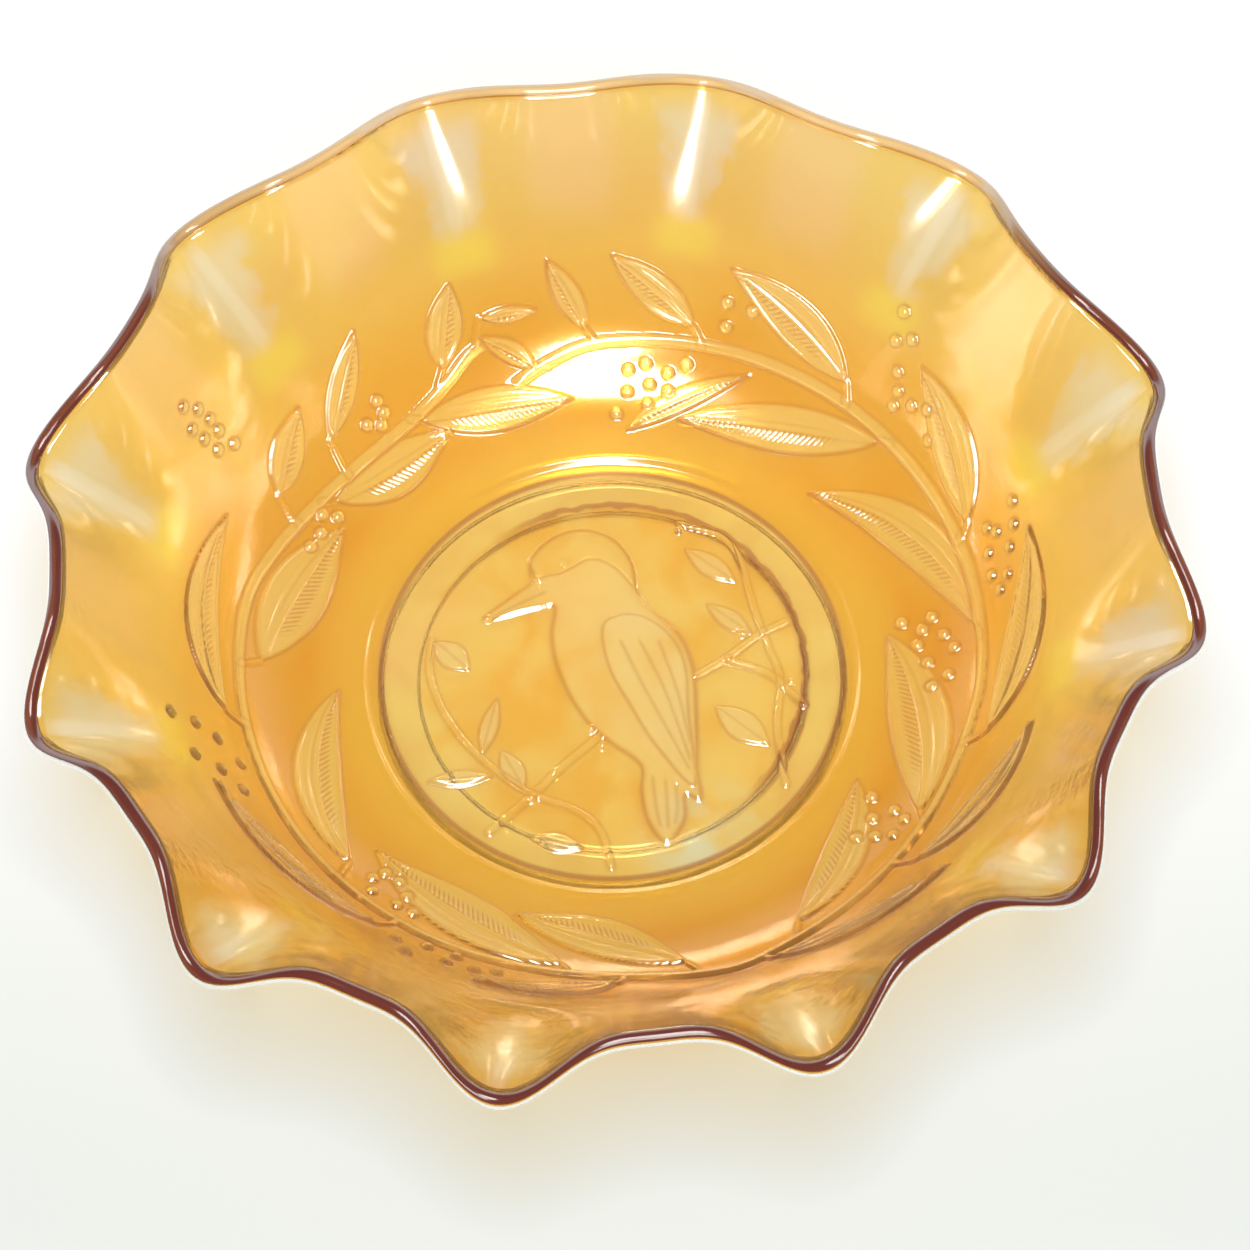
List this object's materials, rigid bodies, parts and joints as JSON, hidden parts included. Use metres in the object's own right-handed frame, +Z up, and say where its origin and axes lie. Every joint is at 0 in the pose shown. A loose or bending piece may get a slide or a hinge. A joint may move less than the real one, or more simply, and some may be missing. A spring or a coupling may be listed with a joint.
{
  "type": "ruffled glass bowl",
  "caption": "Shallow amber iridescent pressed glass bowl with a ruffled rim, a moulded leaf wreath and a perched bird on the floor, standing on a low round foot.",
  "frame": {"origin": "centre of the foot ring's resting face", "axes": "+Z up, out of the bowl's mouth; -Y towards the viewer who sees the bird upright, +X to that viewer's right"},
  "size_m": [0.2348, 0.2368, 0.0684],
  "materials": {
    "marigold_glass": "marigold amber glass with a thin iridescent film, smooth and glossy with soft rainbow tints",
    "lip_glass": "fire-polished edge, dark plum brown outside and amber inside, very glossy",
    "relief_glass": "moulded relief with fine veins under the same film",
    "medallion_glass": "moulded relief, paler amber, faint iridescence",
    "base_glass": "thick pale amber glass of the floor and collar base, little film"
  },
  "bodies": {
    "root": {"berry_clusters": "relief_glass", "bird_figure": "medallion_glass", "bowl_wall": "marigold_glass", "floor_disc": "base_glass", "foot_ring": "base_glass", "inner_leaves": "relief_glass", "left_sprig": "medallion_glass", "outer_leaves": "relief_glass", "perch_branch": "medallion_glass", "right_sprig": "medallion_glass", "rim_lip": "lip_glass", "ruffled_border": "marigold_glass", "wreath_stem": "relief_glass"}
  },
  "joints": []
}
